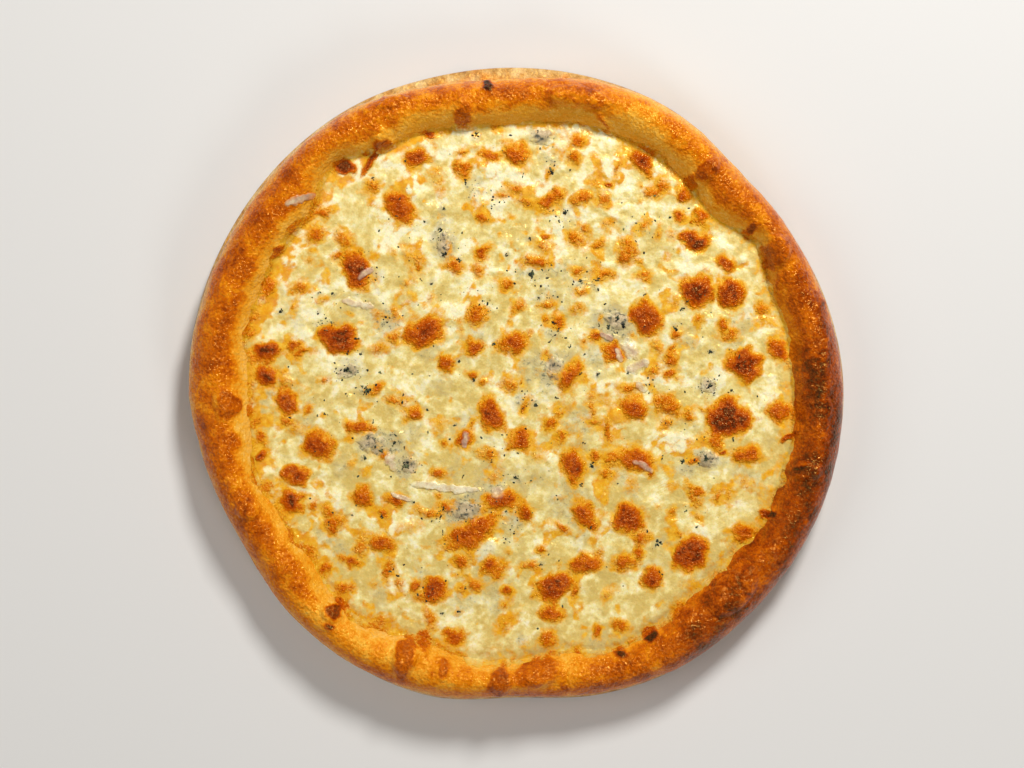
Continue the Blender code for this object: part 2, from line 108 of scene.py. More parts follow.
# Melted cheese, in mm. z of the flat sheet says which ring a point is on
CHEESE_GRID, RING_BIAS = 300, 0.25
SLOPE_RING, BED_RING = -1, -2
CHEESE_TOP, CHEESE_EDGE = 17.0, 16.3
EDGE_RADIUS, SLOPE_RADIUS, BED_RADIUS = 127.2, 123.75, 117.8
FILM_REACH, FILM_BLEND = 0.9, 0.7
SLOPE_HEIGHT, BED_GAP = 13.4, 0.35
CHEESE_SWELL, CHEESE_WAVE = 0.8, 38.0
CHEESE_LUMP, LUMP_WAVE = 0.45, 13.0
EDGE_FADE = 5.0
BLISTER_HEIGHT = 1.3
# Where cheese has run up the crust: angle and half width in degrees, reach in mm
SPILLS = (
    (120, 7, 3), (146, 8, 3.6), (153, 6, 3), (137, 6, 2.2), (103, 5, 1.6), (60, 4, 2), (48, 3, 1.5),
    (28, 3, 1.5), (200, 5, 2), (215, 4, 3), (235, 4, 2.5), (250, 4, 3), (262, 3, 2), (285, 4, 2),
    (318, 4, 2), (340, 3, 1.5), (171, 4, 2), (186, 3, 1.5),
)
# Large toasted blisters: place, half length, half width in mm, turn in degrees and how dark
BLISTERS = (
    (-54, 82, 8, 5.5, -60, .7), (-75, 53, 9, 6.5, -60, .85), (-1, 106, 7.5, 5, -45, .6),
    (15, 85, 7, 4, 30, .6), (30, 85, 6, 3.5, 20, .5), (9, 56, 6, 3, -5, .6), (58.5, 103, 6.5, 4.5, -60, .8),
    (83.5, 66, 6, 4, -25, .95), (51, 61, 7, 4, 80, .5), (-83, 20, 8, 7, -30, .85),
    (-116, 14.5, 6.5, 5, 20, .95), (-116, 3.5, 6, 4.5, -10, .95), (-108, -9, 6.5, 4.8, -60, .75),
    (-92.5, -29.5, 7.5, 6, -35, .7), (-75, -20.5, 6, 3.2, 0, .6), (-43, 23, 9, 6, 35, .75),
    (-2, 18, 8, 5, 15, .65), (-11, -15, 8, 5.5, -65, .7), (25, 2, 7, 4.5, 60, .6),
    (25.5, -39, 8, 5.5, -75, .75), (83.5, 42, 8, 7.5, 0, .8), (100, 41, 7, 7, 0, .75),
    (60.5, 30, 8, 7, -40, .75), (105.5, 8, 8.5, 7.5, 0, .8), (54.5, -12.5, 7, 5.5, -25, .65),
    (71, -11, 6, 4.5, -45, .5), (98.5, -17, 10.5, 9, 0, .85), (107.5, -34, 6.5, 4, 15, .6),
    (56.5, -36, 9, 5.5, -20, .65), (-84.5, -66, 6, 4.5, 45, .5), (-63, -75, 7, 4.2, -10, .6),
    (-38, -97, 6.5, 5.5, 0, .75), (-21, -70, 13, 6.5, 30, .6), (-9, -56, 8, 4, 15, .75),
    (4, -60, 6, 4, -50, .7), (32, -84.5, 8, 4.5, 25, .7), (32, -62, 8, 4.5, -50, .7),
    (17, -96, 9, 6, 20, .75), (52, -64, 8, 7, -30, .75), (64, -91.5, 5.5, 5.5, 0, .7),
    (80, -80.5, 8.5, 7.5, 40, .8), (51, -84, 6, 4, 10, .55), (-105, -56.5, 5, 4.8, 0, .85),
    (-72.5, -53.5, 5.3, 5.3, 0, .65),
)
# Lesser toasted spots: place, half sizes along X and Y in mm and how dark
SPOTS = (
    (-47, 104, 6, 5, .7), (-67, 91, 5, 3.5, .45), (-93, 69, 4, 4, .5), (-81, 66, 5, 4, .4),
    (-91, 79, 6, 3, .45), (-101, 44, 4.5, 3, .5), (-112, 60, 3, 2, .6), (-115, 46, 4, 4, .5),
    (-26, 99, 4, 4, .5), (-13, 106, 5, 3, .6), (28, 112, 5, 4, .5), (42, 93, 2.4, 1.3, 1),
    (0, 90, 5, 3, .4), (4, 83, 4, 2.5, .4), (40, 85, 4, 4, .4), (-17, 76, 3, 3, .5), (28, 67, 5, 3.5, .5),
    (32, 72, 3, 3, .4), (13, 68, 2, 1.2, .7), (-17, 61, 2, 1.2, .8), (-30, 54, 5, 3, .5),
    (-18, 52, 3.5, 3, .4), (-5, 46, 4, 3, .5), (28, 52, 3, 3, .4), (43, 73, 4, 3, .35), (63, 89, 4, 4, .45),
    (78, 88, 3.5, 4.5, .6), (77, 78, 2.5, 2.5, .55), (86, 77, 4, 3.5, .65), (98, 55, 5, 4, .7),
    (60, 50, 4, 3, .4), (-103, 17, 4, 3, .6), (-108, -19, 4, 4, .55), (-98, -13, 3, 2, .4),
    (-120, -25, 3, 3, .5), (-119, -34, 3, 2, .8), (-103, -43, 5, 4.5, .85), (-48, -15, 5, 4, .6),
    (-62, -34, 3, 2, .5), (-66, -3, 3, 3, .5), (-64, 16, 5, 3, .3), (-19, 31, 5, 5, .55),
    (-20, 16, 4, 3.5, .6), (-33, 9, 5, 4, .6), (-20, 4, 2, 1.5, .6), (-15, 0, 3, 2.5, .45),
    (-3, -1, 4, 3, .4), (1, 35, 4, 3, .4), (19, 29, 3, 4, .5), (1, -27, 5.5, 4, .75), (15, -20, 4, 3, .5),
    (20, -13, 3.5, 2, .4), (34, -12, 1.6, 5, .35), (36, -35, 3, 2.5, .5), (41, -43, 4, 3, .45),
    (45, 14, 5, 4, .75), (37, 21, 3, 2, .7), (-24, -26, 4, 4, .75), (-37, -43, 4, 3, .5),
    (115, 34, 3.5, 3, .5), (99, 22, 4.5, 2.5, .6), (75, 23, 3, 2, .45), (84, 29, 3, 3, .45),
    (72, 11, 4.5, 4, .5), (72, 4, 3, 2.5, .5), (122, 15, 5, 4.5, .75), (52, -3, 4, 3, .6),
    (80, -16, 2.5, 2.5, .45), (43, -22, 2, 5, .5), (122, -14, 5.5, 5, .6), (46, -36, 5, 4, .5),
    (82, -37, 3, 1.5, .5), (96, -33, 2.2, 1.2, .9), (-56, -55, 5.5, 3.5, .65), (-76, -84, 4, 3, .6),
    (-90, -87, 4, 4, .5), (-81, -96, 5, 4.5, .4), (-84, -105, 4.5, 4, .8), (-64, -112, 3, 3, .4),
    (-48, -95, 3, 2.5, .55), (-26, -84, 4, 3.5, .5), (-20, -94, 4.5, 3, .45), (-12, -86, 4.5, 4, .65),
    (11, -78, 2.5, 2.5, .6), (6, -86, 5, 2, .4), (16, -108, 5.5, 4.5, .6), (14, -119, 4, 3.5, .5),
    (-5, -98, 2.5, 2, .75), (-29, -119, 5.5, 4.5, .65), (38, -117, 2.5, 2.5, .75), (28, -126, 3, 3, .75),
    (-33, -58, 4, 2, .45), (57, -79, 3, 4, .55), (106, -70, 5.5, 5, .6), (76, -107, 5, 4, .55),
    (49, -113, 5, 4, .5), (84, -51, 3, 2.5, .6), (92, -55, 2.5, 2.5, .4),
)
RANDOM_SPOTS, SPOT_FIELD = 160, 118.0
STRANDS, STRAND_FIELD = 420, 122.0

# Blue cheese melted into the rest: place, half sizes in mm and how strong
BLUE_PATCHES = (
    (46, 27, 11, 8, 1), (-24, -59, 10, 7, 1), (-66, -28, 9, 6, .9), (14, 7, 12, 8, .8), (17, 24, 5, 4, .7),
    (-34, 66, 6, 10, .8), (-20, 90, 5, 7, .5), (-10, 83, 5, 3, .4), (22, 78, 5, 4, .6), (12, 117, 8, 4, .7),
    (16, 103, 5, 6, .6), (32, 46, 6, 6, .6), (13, 40, 5, 5, .5), (-60, 29, 5, 4, .6), (-51, -39, 5, 5, .8),
    (-78, 5, 7, 4, .8), (-70, -4, 5, 4, .5), (89, -2, 6, 5, .6), (86, -36, 9, 5, .8), (-40, -97, 4, 3, .6),
    (-2, -70, 5, 8, .6), (-37, -62, 4, 4, .5), (-90, 27, 5, 3, .5), (3, -8, 5, 4, .6), (5, -45, 10, 6, .5),
    (10, 52, 14, 6, .5), (-68, 50, 5, 5, .5), (-15, 35, 4, 4, .4), (-9, -51, 6, 4, .5), (78, -22, 8, 8, .3),
    (62, 0, 5, 6, .4), (-75, 36, 10, 6, .35), (60, 70, 10, 8, .25), (-12, -30, 9, 9, .3),
)
# Thick white cheese that stayed in lumps: place and half sizes in mm
WHITE_LUMPS_MELTED = (
    (-64, 84, 7, 4), (-60, 77, 5, 4), (-50, 91, 5, 4), (6, 88, 7, 4), (-14, 100, 6, 5), (-56, -95, 8, 5),
    (-15, -80, 7, 6), (20, -68, 8, 4), (-110, -66, 5, 4), (45, 100, 10, 6), (-100, 20, 6, 8),
    (70, 92, 8, 5), (-30, 33, 8, 5), (-20, 84, 4, 7), (-11, 80, 4, 5), (75, -28, 9, 6), (40, -2, 6, 5),
    (92, 52, 6, 4), (-55, -68, 8, 4), (85, -70, 6, 5),
)

# What lies on the cheese: place, half length, half width in mm and turn in degrees
BLUE_CRUMBS = (
    (47, 28.5, 6.5, 4.2, -15), (-24, -60, 7.5, 5, -5), (-68, -28.5, 7, 5, -20), (-50, -38.5, 4.5, 4, -60),
    (-79, 5, 5.5, 3.2, 20), (89, -36, 5.5, 4, 0), (11, 114.5, 6, 4, 0), (17.5, 7, 4.5, 6, 0),
    (-34, 64, 3.5, 6, 0), (89, -1.5, 4.5, 3.5, 0),
)
WHITE_LUMPS = ((53, 14.5, 5.5, 3.5, -45), (-59, -36, 3.5, 2.6, 60), (-9, -51.5, 3.5, 3, 0))
CRUMB_HEIGHT, LUMP_HEIGHT = 1.8, 1.6
SLIVERS = (
    (-50, -47.5, -17, -51, 4.2), (-107.5, 81.5, -93.5, 88, 4.0), (-24, -22.5, -24.5, -31, 3.8),
    (53.5, -36.5, 64, -42, 3.2), (-59, -51.5, -49, -55.5, 2.6), (-74.5, 48, -66.5, 53, 3.8),
    (56, 0.5, 60, -5, 4.0), (38.5, 23, 45, 19.5, 3.2),
)
SLIVER_THICKNESS, STRIP_BODY = 1.0, 0.5
LUMP_DETAIL, STRIP_GRID = 5, (48, 14)
SHREDS = (
    (-82, 38, -66, 35, 3.6), (-57, -42, -61, -34, 4.5), (50, 18, 54, 11, 4.0), (46, 16, 49, 9, 3.6),
    (51, 5, 62, 10, 5.0),
)
# How white each is, from pinkish grey to cream
SLIVER_TONES = (0.9, 0.3, 0.1, 0.15, 0.6, 0.2, 0.6, 0.15)
SHRED_TONES = (0.7, 0.6, 0.3, 0.4, 0.6)
LUMP_TONES = (0.7, 0.5, 0.4)

# Larger herb flakes, fused to the solid of the cheese, in mm
FLAKES = 46
FLAKE_LENGTH = 1.25
FLAKE_FIELD, FLAKE_CLEARANCE, FLAKE_SPACING = 112.0, 3.0, 6.0
# Dark flecks that stand out: place and length in mm
FLECKS = (
    (-19, 115, 2.5), (-24, 93, 2), (16, 98, 3), (-34, 81, 2), (-43, 75, 1.6), (-36, 71, 2.4),
    (-34, 60, 2.6), (-27, 57, 2.6), (6, 67, 2), (-5, 59, 1.6), (7, 50, 3), (-1, 46, 1.6), (30, 47, 2.2),
    (38, 48, 1.6), (38, 43, 1.6), (-40, 46, 1.4), (22, 79, 2.2), (-67, 95, 1.6), (-75, 20, 2.4),
    (-73, 13, 1.6), (-71, -35, 2), (-63, -32, 2.2), (-57, -28, 1.8), (-42, -13, 1.6), (-110, 33, 1.8),
    (-93, 32, 1.4), (-86, 41, 2), (-92, 42, 1.4), (0, -45, 3), (35, -39, 2.4), (10, 39, 1.8),
    (-11, 18, 1.8), (-27, 10, 1.6), (-20, 1, 1.8), (-29, -20, 1.6), (38, 4, 1.8), (9, -11, 2.2), (52, 4, 2),
    (90, 14, 2), (77, 34, 2), (74, 25, 2.2), (90, -2, 3), (-86, -61, 1.4), (-63, -63, 1.8), (-59, -88, 1.6),
    (-48, -56, 1.6), (-62, -112, 1.6), (-27, -107, 1.8), (-35, -108, 1.6), (2, -119, 2.4), (34, -68, 1.6),
    (30, -48, 1.6), (11, -85, 1.4), (-24, -96, 1.4), (66, -75, 2.8), (61, -70, 1.8), (-51, -39, 3),
    (-79, 6, 3), (-70, -4, 2.6), (88, -36, 2.8), (77, -37, 2.4), (47, 30, 3), (43, 26, 2.4), (50, 26, 2.4),
)
SPECKS, SPECK_FIELD, FLECK_FIELD = 900, 116.0, 118.0
CHIPS_PER_FLAKE, CHIPS_PER_FLECK = 4, 7
FLAKE_RISE, FLECK_RISE, SPECK_RISE = 0.3, 0.22, 0.16

# Each light: name, place and size in metres, and watts
LIGHTS = (
    ("Key", (0.4, 0.95, 1.0), 0.34, 19),
    ("Side", (0.55, -0.95, 0.75), 0.4, 3.6),
    ("Fill", (-0.85, -0.1, 0.9), 0.8, 3.4),
)
FLOOR_SIZE, FLOOR_DROP = 3, 0.0005
# The camera looks straight down on the middle of the photo, at CAMERA_X and CAMERA_Y in mm.
# The photo is 476 mm wide at the level of the rim
VIEW_WIDTH, LENS, SENSOR = 0.476, 85.0, 36.0
RIM_LEVEL = 0.02
CAMERA_X, CAMERA_Y = -2.3, -0.9


def srgb(red, green, blue):
    """A display colour from 0 to 255, as linear values."""
    parts = [value / 255 for value in (red, green, blue)]
    linear = [part / 12.92 if part <= 0.04045 else ((part + 0.055) / 1.055) ** 2.4 for part in parts]
    return (*linear, 1.0)


# Fields over arrays of places, all in mm

def smooth_step(share):
    share = np.clip(share, 0.0, 1.0)
    return share * share * (3 - 2 * share)


def around(values, angle):
    """Values at angles on a smooth closed curve through values spaced evenly from +X."""
    values = np.asarray(values)
    place = angle / math.tau * len(values)
    first = np.floor(place).astype(int)
    t = place - first
    a, b, c, d = (values[(first + step) % len(values)] for step in (-1, 0, 1, 2))
    return b + 0.5 * t * (c - a + t * (2 * a - 5 * b + 4 * c - d + t * (3 * (b - c) + d - a)))


def wave(x, y, z, length):
    """Smooth noise from about -1 to 1, with features of that length. Each z gives another pattern."""
    places = np.stack(np.broadcast_arrays(x, y, z), axis=-1) / length
    return np.fromiter(map(noise.noise, places.tolist()), float, len(places))


def dome(across, along):
    inside = np.clip(1 - across * across - along * along, 0, None)
    return inside * (2 - inside)


def oval_shares(x, y, oval):
    """How far (x, y) is from the middle of an oval (x, y, half length, half width, turn), in half sizes."""
    turn = math.radians(oval[4])
    dx, dy = x - oval[0], y - oval[1]
    along = dx * math.cos(turn) + dy * math.sin(turn)
    across = dy * math.cos(turn) - dx * math.sin(turn)
    return along / oval[2], across / oval[3]


def oval_depth(x, y, oval):
    """How deep inside an oval a place is, in mm. Outside it is below 0."""
    along, across = oval_shares(x, y, oval)
    return (1 - np.hypot(along, across)) * min(oval[2], oval[3])


def mark_cover(x, y, mark):
    """How much a toasted mark covers a place, from 0 to 1."""
    return smooth_step((oval_depth(x, y, mark) + 1.3) / 2.8)


def warped(x, y, reach, length):
    """Places moved by noise, so that an oval drawn with them gets a wandering edge."""
    return x + reach * wave(x, y, 21, length), y + reach * wave(x, y, 47, length)


def angle_from(angle, degrees):
    """How far angles are from a direction in degrees, from -pi to pi."""
    return (angle - math.radians(degrees) + math.pi) % math.tau - math.pi


# Crust

def settled_radius(radius, height, angle):
    """Radius of a point of the nominal section once it follows the outlines at this angle."""
    rim, cheese = around(RIM_RADII, angle), around(CHEESE_RADII, angle)
    foot = rim + around(FOOT_REACHES, angle)
    low = radius * foot / FOOT_RADIUS
    inner = radius * cheese / CHEESE_RADIUS
    outer = cheese + (radius - CHEESE_RADIUS) * (rim - cheese) / (RIM_RADIUS - CHEESE_RADIUS)
    high = np.where(radius < CHEESE_RADIUS, inner, outer)
    share = smooth_step((height - LIP_HEIGHT) / (CREASE_HEIGHT - LIP_HEIGHT))
    return low + share * (high - low)


def folds(radius, angle):
    """Height of the folds and blisters of the rim at a settled radius."""
    cheese, rim = around(CHEESE_RADII, angle), around(RIM_RADII, angle)
    total = np.zeros_like(radius)
    for degrees, share, half_length, half_width, height in RIM_FOLDS:
        along = angle_from(angle, degrees) * radius
        across = radius - (cheese + share * (rim - cheese))
        total += height * dome(along / half_length, across / half_width)
    return total


def soft_section():
    """The crust's section as a fine, softened line, with coarse steps where nothing shows."""
    corners = np.array(CRUST_SECTION)
    lengths = np.concatenate(([0], np.cumsum(np.hypot(*np.diff(corners, axis=0).T))))
    places = np.linspace(0, lengths[-1], int(lengths[-1] / SECTION_STEP))
    line = np.stack([np.interp(places, lengths, corners[:, axis]) for axis in (0, 1)], axis=1)
    reach = np.arange(-SOFT_REACH, SOFT_REACH + 1)
    weights = np.exp(-0.5 * (reach * SECTION_STEP / SECTION_SOFTNESS) ** 2)
    weights /= weights.sum()
    padded = np.pad(line, ((SOFT_REACH, SOFT_REACH), (0, 0)), mode="edge")
    soft = sum(weight * padded[start:start + len(line)] for start, weight in enumerate(weights))
    soft[0], soft[-1] = line[0], line[-1]
    inside = [(radius, FLOOR_HEIGHT) for radius in FLOOR_STEPS]
    below = [(radius, 0.0) for radius in UNDERSIDE_STEPS]
    return inside + soft.tolist() + below


def add_object(name, data):
    made = bpy.data.objects.new(name, data)
    bpy.context.scene.collection.objects.link(made)
    return made


def turned_mesh():
    """The nominal section turned about Z, in mm."""
    points = [(radius, 0, height) for radius, height in soft_section()]
    section = bpy.data.meshes.new("crust_section")
    section.from_pydata(points, [(i, i + 1) for i in range(len(points) - 1)], [])
    turned = add_object("crust_turned", section)
    screw = turned.modifiers.new("Screw", "SCREW")
    screw.steps = screw.render_steps = TURN_STEPS
    screw.use_merge_vertices = True
    screw.merge_threshold = 0.0001
    graph = bpy.context.evaluated_depsgraph_get()
    mesh = bpy.data.meshes.new_from_object(turned.evaluated_get(graph))
    bpy.data.objects.remove(turned)
    return mesh


def mesh_from(bm, name):
    mesh = bpy.data.meshes.new(name)
    bm.to_mesh(mesh)
    bm.free()
    return mesh


def vertex_places(mesh):
    places = np.empty(len(mesh.vertices) * 3)
    mesh.vertices.foreach_get("co", places)
    return places.reshape(-1, 3)


def set_places(mesh, places):
    """Moves the vertices to places in mm and gives the mesh its size in metres."""
    mesh.vertices.foreach_set("co", (places * MM).ravel())
    mesh.update()


def set_fields(mesh, fields):
    """Keeps each field on the vertices, held between 0 and 1, for the materials."""
    for name, values in fields.items():
        mesh.attributes.new(name, "FLOAT", "POINT").data.foreach_set("value", np.clip(values, 0, 1))


def add_piece(name, mesh, finish, nodes=()):
    made = add_object(name, mesh)
    mesh.materials.clear()
    mesh.materials.append(finish)
    mesh.shade_smooth()
    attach(made, "root")
    if nodes:
        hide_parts(*nodes)
    return made


def make_crust(finish):
    mesh = turned_mesh()
    nominal = vertex_places(mesh)
    radius, height = np.hypot(nominal[:, 0], nominal[:, 1]), nominal[:, 2]
    angle = np.arctan2(nominal[:, 1], nominal[:, 0]) % math.tau
    real = settled_radius(radius, height, angle)
    x, y = real * np.cos(angle), real * np.sin(angle)

    on_rim = smooth_step((radius - CHEESE_RADIUS) / 2) * smooth_step((height - LIP_HEIGHT) / 2)
    lift = smooth_step((height - CHEESE_LINE) / (CREST_HEIGHT - CHEESE_LINE))
    core = settled_radius(CORE_RADIUS, CORE_HEIGHT, angle)
    out, up = real - core, height - CORE_HEIGHT
    away = np.maximum(np.hypot(out, up), 1e-6)
    out, up = out / away, up / away
    fold = folds(real, angle)
    puff = RIM_LUMP * wave(x, y, height, RIM_WAVE) * (0.35 + 0.65 * lift) + lift * fold
    swell = lift * CREST_SWELL * wave(x, y, 0, CREST_WAVE)

    wx, wy = warped(x, y, 2.0, 6)
    fx, fy = warped(wx, wy, 1.0, 2.5)
    marked, scorch = np.zeros_like(x), np.zeros_like(x)
    shown = smooth_step((height - CHEESE_LINE + 1) / 3)
    for mark in RIM_MARKS:
        inside = mark_cover(fx, fy, mark) * shown
        marked, scorch = np.maximum(marked, inside), np.maximum(scorch, inside * mark[5])
    wrinkled = np.clip(smooth_step(fold / 1.2) + 0.9 * marked, 0, 1)
    cushion = np.sqrt(np.clip(np.abs(wave(wx, wy, height, 5.2)) / 0.32, 0, 1))
    pebble = 0.12 * wave(x, y, height, 3.6) + 0.06 * wave(x, y, height, 2.0)
    pebble += 0.26 * wave(x, y, height + 40, 8)
    puff += pebble + wrinkled * (0.8 * cushion - 0.25) + 0.5 * marked
    moved = real + on_rim * out * puff
    top = height + on_rim * (up * puff + swell)

    bake_and_shading = around(BAKE_AND_SHEEN_LEVELS, angle) + 0.15 * wave(x, y, height + 5, 24)
    bake_and_shading += 0.18 * wave(wx, wy, 1.4 * height + 15, 8) + 0.10 * wave(fx, fy, height + 25, 3.2)
    # The inner slope is kept lighter than the crest, partly from real baking and partly as painted light.
    # Wrinkles are darker in their creases. The low inner slope on the +Y half is painted lighter still:
    # painted light where that slope faces away from the key light.
    bake_and_shading += 0.13 * lift - 0.11 + wrinkled * (0.09 - 0.16 * cushion)
    bake_and_shading -= 0.2 * (1 - lift) * np.clip(np.sin(angle - 0.4) + 0.4, 0, 1)
    # Toward +Y, where the key light stands, the crest beyond radius 136 mm is painted darker and the inner
    # slope inside it lighter: painted shade on the lit crest, painted light on the slope that the rim shades.
    toward_key = np.clip(np.sin(angle), 0, 1)
    bake_and_shading += 0.03 * np.clip(radius - 136, -4, 5) * toward_key ** 2 * smooth_step((radius - 120) / 10)
    bake_and_shading += marked * np.maximum(0, scorch ** 1.35 - bake_and_shading) + 0.1 * marked * wave(fx, fy, height, 2.6)
    # Painted shade on the outer slope of the rim, darkest at the bottom and faint toward +Y, where the light
    # falls on it.
    bake_and_shading += 0.22 * smooth_step((radius - 142) / 7) * (0.55 - 0.45 * np.sin(angle)) * lift
    side = smooth_step((radius - 147.5) / 2) * smooth_step((16 - height) / 8)
    bake_and_shading = bake_and_shading * (1 - 0.35 * side) + 0.35 * side * 0.55
    under = smooth_step((1.5 - height) / 1.5) * smooth_step((radius - 20) / 10)
    bake_and_shading = bake_and_shading * (1 - under) + under * (0.52 + 0.12 * wave(x, y, 3, 12) + 0.08 * wave(x, y, 3, 4))
    gold = smooth_step((135.5 - radius) / 8 + 0.6 * wave(x, y, 33, 7)) * smooth_step((radius - 110) / 5)
    gold *= around(GOLD_LEVELS, angle) * (1 - marked)
    # Golden fat lightens the inner slope, but not below a least bake that is higher toward +Y: painted shade
    # that keeps the colour deep where the slope lies in the key light's shade.
    bake_and_shading = np.maximum(bake_and_shading - 0.17 * gold, 0.1 + 0.12 * toward_key)
    pale_top = 7.2 + 2.0 * wave(x, y, 62, 9) + 0.8 * wave(x, y, 64, 3)
    pale = smooth_step((pale_top - height) / 2.6) * smooth_step((height - 0.2) / 1.2)
    pale = pale * smooth_step((radius - 140) / 6) * (0.8 + 0.35 * wave(x, y, 60, 6))

    set_places(mesh, np.stack((moved * np.cos(angle), moved * np.sin(angle), top), axis=1))
    set_fields(mesh, {"bake_and_shading": bake_and_shading, "gold": gold, "pale": pale})
    return add_piece("crust_baked", mesh, finish, ["crust"])


# Cheese

def round_places(u, v):
    """Bends points of the square from -1 to 1 to a round sheet, as (share of the radius, angle)."""
    wide = np.abs(u) >= np.abs(v)
    share = np.maximum(np.abs(u), np.abs(v))
    long_way = np.where(wide, u, v)
    long_way = np.where(np.abs(long_way) < 1e-9, 1.0, long_way)
    swing = math.pi / 4 * np.where(wide, v, u) / long_way
    start = np.where(u > 0, 0.0, math.pi)
    upright = np.where(v > 0, 0.0, math.pi) + math.pi / 2
    return share, np.where(wide, start + swing, upright - swing) % math.tau


def cheese_sheet():
    """A flat square sheet with two rings of faces that hang from its edge, and a face that closes it."""
    bm = bmesh.new()
    bmesh.ops.create_grid(bm, x_segments=CHEESE_GRID, y_segments=CHEESE_GRID, size=1)
    edges = [edge for edge in bm.edges if edge.is_boundary]
    for edge in edges:
        edge.smooth = False
    for ring in (SLOPE_RING, BED_RING):
        made = bmesh.ops.extrude_edge_only(bm, edges=edges)["geom"]
        for vertex in (part for part in made if isinstance(part, bmesh.types.BMVert)):
            vertex.co.z = ring
        edges = [part for part in made if isinstance(part, bmesh.types.BMEdge) and part.is_boundary]
    bmesh.ops.contextual_create(bm, geom=edges)
    bmesh.ops.recalc_face_normals(bm, faces=bm.faces)
    return mesh_from(bm, "cheese_sheet")


def random_place(draw, field):
    """A place by chance in a circle of radius field, evenly spread."""
    reach, angle = field * math.sqrt(draw.random()), draw.uniform(0, math.tau)
    return reach * math.cos(angle), reach * math.sin(angle)


def random_spots():
    draw = random.Random(SEED + 1)
    spots = []
    for _ in range(RANDOM_SPOTS):
        x, y = random_place(draw, SPOT_FIELD)
        size = 0.8 + 2.6 * draw.random() ** 1.6
        half_length, turn = size * draw.uniform(1, 2.4), draw.uniform(0, 180)
        spots.append((x, y, half_length, size, turn, draw.uniform(0.16, 0.55)))
    return spots


def toasted_ovals():
    """Every toasted patch of the cheese as (x, y, half length, half width, turn, how dark)."""
    spots = [(x, y, a, b, 0, toast) for x, y, a, b, toast in SPOTS]
    return list(BLISTERS) + spots + random_spots()


def strands(x, y):
    """Relief of the shreds that the cheese melted from, from 0 to 1."""
    draw = random.Random(SEED + 2)
    total = np.zeros_like(x)
    for _ in range(STRANDS):
        place, length, width = random_place(draw, STRAND_FIELD), draw.uniform(4, 10), draw.uniform(1.2, 2.6)
        shred = (*place, length, width, draw.uniform(0, 180))
        near = (np.abs(x - shred[0]) < length) & (np.abs(y - shred[1]) < length)
        ridge = draw.uniform(0.5, 1) * dome(*oval_shares(x[near], y[near], shred))
        total[near] = np.maximum(total[near], ridge)
    return total


